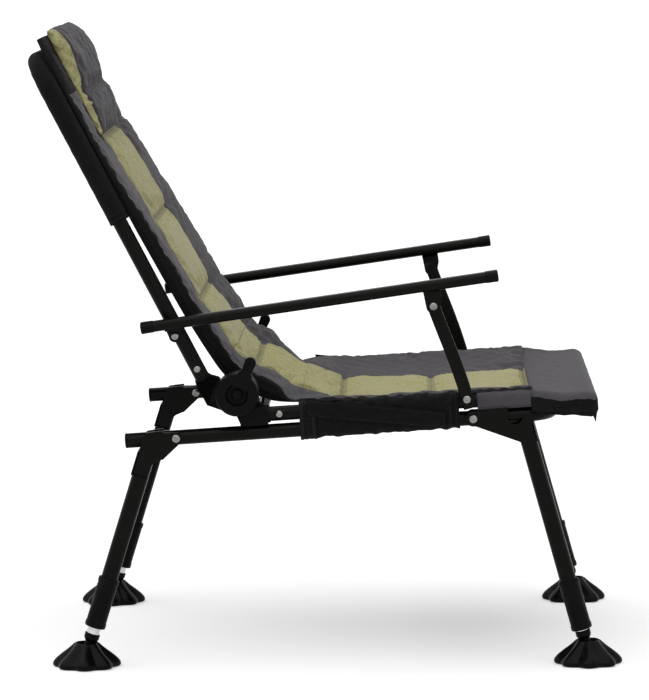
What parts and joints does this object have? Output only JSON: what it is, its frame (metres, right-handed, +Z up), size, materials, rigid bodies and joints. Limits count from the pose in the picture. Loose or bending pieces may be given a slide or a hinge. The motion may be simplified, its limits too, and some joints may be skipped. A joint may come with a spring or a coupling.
{
  "type": "folding carp fishing chair",
  "caption": "Low folding fishing chair with a reclining padded back, sling seat, swinging arms and telescopic legs on swivelling mud feet.",
  "frame": {"origin": "on the ground, under the middle of the bounding box", "axes": "+X towards the front of the seat, +Y towards the left of a person seated in it, +Z up"},
  "size_m": [0.8738, 0.662, 0.9453],
  "materials": {
    "black_frame": "gloss",
    "bright_steel": "satin",
    "silver_tube": "satin",
    "black_plastic": "satin",
    "foot_plastic": "matte",
    "olive_cloth": "matte",
    "grey_cloth": "matte",
    "black_cloth": "matte"
  },
  "bodies": {
    "chair_frame": {"lower_frame": "black_frame", "seat_frame": "black_frame", "seat_pad": "olive_cloth", "lumbar_pad": "olive_cloth", "frame_plug_left": "black_plastic", "seat_hinge_socket_left": "black_plastic", "hinge_bolt_left": "bright_steel", "seat_socket_screw_left": "bright_steel", "strut_rivet_left": "bright_steel", "side_wrap_left": "black_cloth", "frame_plug_right": "black_plastic", "seat_hinge_socket_right": "black_plastic", "hinge_bolt_right": "bright_steel", "seat_socket_screw_right": "bright_steel", "strut_rivet_right": "bright_steel", "side_wrap_right": "black_cloth", "leg_rivet_rear_left": "bright_steel", "leg_rivet_rear_right": "bright_steel", "leg_rivet_front_left": "bright_steel", "leg_rivet_front_right": "bright_steel"},
    "backrest": {"back_frame": "black_frame", "back_sleeve": "black_cloth", "back_pad": "olive_cloth", "head_pillow": "grey_cloth", "back_hinge_socket_left": "black_plastic", "back_socket_screw_left": "bright_steel", "arm_rivet_left": "bright_steel", "back_hinge_socket_right": "black_plastic", "back_socket_screw_right": "bright_steel", "arm_rivet_right": "bright_steel"},
    "armrest_left": {"arm_left": "black_frame", "arm_cap_rear_left": "black_plastic", "arm_cap_front_left": "black_plastic"},
    "strut_left": {"arm_strut_left": "black_frame"},
    "knob_left": {"recline_knob_left": "black_plastic"},
    "armrest_right": {"arm_right": "black_frame", "arm_cap_rear_right": "black_plastic", "arm_cap_front_right": "black_plastic"},
    "strut_right": {"arm_strut_right": "black_frame"},
    "knob_right": {"recline_knob_right": "black_plastic"},
    "leg_rear_left": {"leg_tube_rear_left": "black_frame"},
    "sleeve_rear_left": {"lock_sleeve_rear_left": "black_plastic"},
    "inner_leg_rear_left": {"inner_tube_rear_left": "silver_tube", "foot_neck_rear_left": "black_plastic"},
    "foot_rear_left": {"mud_foot_rear_left": "foot_plastic"},
    "leg_rear_right": {"leg_tube_rear_right": "black_frame"},
    "sleeve_rear_right": {"lock_sleeve_rear_right": "black_plastic"},
    "inner_leg_rear_right": {"inner_tube_rear_right": "silver_tube", "foot_neck_rear_right": "black_plastic"},
    "foot_rear_right": {"mud_foot_rear_right": "foot_plastic"},
    "leg_front_left": {"leg_tube_front_left": "black_frame"},
    "sleeve_front_left": {"lock_sleeve_front_left": "black_plastic"},
    "inner_leg_front_left": {"inner_tube_front_left": "silver_tube", "foot_neck_front_left": "black_plastic"},
    "foot_front_left": {"mud_foot_front_left": "foot_plastic"},
    "leg_front_right": {"leg_tube_front_right": "black_frame"},
    "sleeve_front_right": {"lock_sleeve_front_right": "black_plastic"},
    "inner_leg_front_right": {"inner_tube_front_right": "silver_tube", "foot_neck_front_right": "black_plastic"},
    "foot_front_right": {"mud_foot_front_right": "foot_plastic"}
  },
  "joints": [
    {"name": "recline", "type": "hinge", "parent": "chair_frame", "child": "backrest", "pos_m": [-0.12816, 0, 0.40914], "axis": [0, 1, 0], "range_deg": [-20, 90], "deforming": ["lumbar_pad"]},
    {"name": "arm_swing_left", "type": "hinge", "parent": "backrest", "child": "armrest_left", "pos_m": [-0.21932, 0.305, 0.4953], "axis": [0, 1, 0], "range_deg": [-81.61, 18.14]},
    {"name": "strut_swing_left", "type": "hinge", "parent": "chair_frame", "child": "strut_left", "pos_m": [0.21041, 0.302, 0.3996], "axis": [0, 1, 0], "range_deg": [-16.93, 76.19]},
    {"name": "knob_turn_left", "type": "hinge", "parent": "chair_frame", "child": "knob_left", "pos_m": [-0.12816, 0.2933, 0.40914], "axis": [0, 1, 0], "range_deg": [0, 150]},
    {"name": "arm_swing_right", "type": "hinge", "parent": "backrest", "child": "armrest_right", "pos_m": [-0.21932, -0.305, 0.4953], "axis": [0, 1, 0], "range_deg": [-81.61, 18.14]},
    {"name": "strut_swing_right", "type": "hinge", "parent": "chair_frame", "child": "strut_right", "pos_m": [0.21041, -0.302, 0.3996], "axis": [0, 1, 0], "range_deg": [-16.93, 76.19]},
    {"name": "knob_turn_right", "type": "hinge", "parent": "chair_frame", "child": "knob_right", "pos_m": [-0.12816, -0.2933, 0.40914], "axis": [0, -1, 0], "range_deg": [0, 150]},
    {"name": "leg_fold_rear_left", "type": "hinge", "parent": "chair_frame", "child": "leg_rear_left", "pos_m": [-0.21959, 0.28, 0.343], "axis": [0, -1, 0], "range_deg": [0, 105]},
    {"name": "sleeve_release_rear_left", "type": "slide", "parent": "leg_rear_left", "child": "sleeve_rear_left", "axis": [0.3007, 0, 0.9537], "range_m": [0, 0.008], "stiffness_N_per_m": 400, "springref_m": -0.001},
    {"name": "leg_length_rear_left", "type": "slide", "parent": "leg_rear_left", "child": "inner_leg_rear_left", "axis": [0.3007, 0, 0.9537], "range_m": [-0.1015, 0.0085]},
    {"name": "foot_tilt_rear_left", "type": "hinge", "parent": "inner_leg_rear_left", "child": "foot_rear_left", "pos_m": [-0.35813, 0.28, 0.02], "axis": [0, 1, 0], "range_deg": [-2, 36]},
    {"name": "leg_fold_rear_right", "type": "hinge", "parent": "chair_frame", "child": "leg_rear_right", "pos_m": [-0.21959, -0.28, 0.343], "axis": [0, -1, 0], "range_deg": [0, 105]},
    {"name": "sleeve_release_rear_right", "type": "slide", "parent": "leg_rear_right", "child": "sleeve_rear_right", "axis": [0.3007, 0, 0.9537], "range_m": [0, 0.008], "stiffness_N_per_m": 400, "springref_m": -0.001},
    {"name": "leg_length_rear_right", "type": "slide", "parent": "leg_rear_right", "child": "inner_leg_rear_right", "axis": [0.3007, 0, 0.9537], "range_m": [-0.1015, 0.0085]},
    {"name": "foot_tilt_rear_right", "type": "hinge", "parent": "inner_leg_rear_right", "child": "foot_rear_right", "pos_m": [-0.35813, -0.28, 0.02], "axis": [0, 1, 0], "range_deg": [-2, 36]},
    {"name": "leg_fold_front_left", "type": "hinge", "parent": "chair_frame", "child": "leg_front_left", "pos_m": [0.21963, 0.28, 0.3691], "axis": [0, -1, 0], "range_deg": [-98, 0]},
    {"name": "sleeve_release_front_left", "type": "slide", "parent": "leg_front_left", "child": "sleeve_front_left", "axis": [-0.2656, 0, 0.9641], "range_m": [0, 0.008], "stiffness_N_per_m": 400, "springref_m": -0.001},
    {"name": "leg_length_front_left", "type": "slide", "parent": "leg_front_left", "child": "inner_leg_front_left", "axis": [0.2656, 0, -0.9641], "range_m": [0, 0.11]},
    {"name": "foot_tilt_front_left", "type": "hinge", "parent": "inner_leg_front_left", "child": "foot_front_left", "pos_m": [0.38839, 0.28, 0.02], "axis": [0, -1, 0], "range_deg": [-4, 34]},
    {"name": "leg_fold_front_right", "type": "hinge", "parent": "chair_frame", "child": "leg_front_right", "pos_m": [0.21963, -0.28, 0.3691], "axis": [0, -1, 0], "range_deg": [-98, 0]},
    {"name": "sleeve_release_front_right", "type": "slide", "parent": "leg_front_right", "child": "sleeve_front_right", "axis": [-0.2656, 0, 0.9641], "range_m": [0, 0.008], "stiffness_N_per_m": 400, "springref_m": -0.001},
    {"name": "leg_length_front_right", "type": "slide", "parent": "leg_front_right", "child": "inner_leg_front_right", "axis": [0.2656, 0, -0.9641], "range_m": [0, 0.11]},
    {"name": "foot_tilt_front_right", "type": "hinge", "parent": "inner_leg_front_right", "child": "foot_front_right", "pos_m": [0.38839, -0.28, 0.02], "axis": [0, -1, 0], "range_deg": [-4, 34]}
  ],
  "couplings": [
    {"joint": "arm_swing_left", "follows": "recline", "ratio": -0.889},
    {"joint": "strut_swing_left", "follows": "recline", "ratio": 0.83},
    {"joint": "arm_swing_right", "follows": "recline", "ratio": -0.889},
    {"joint": "strut_swing_right", "follows": "recline", "ratio": 0.83}
  ]
}
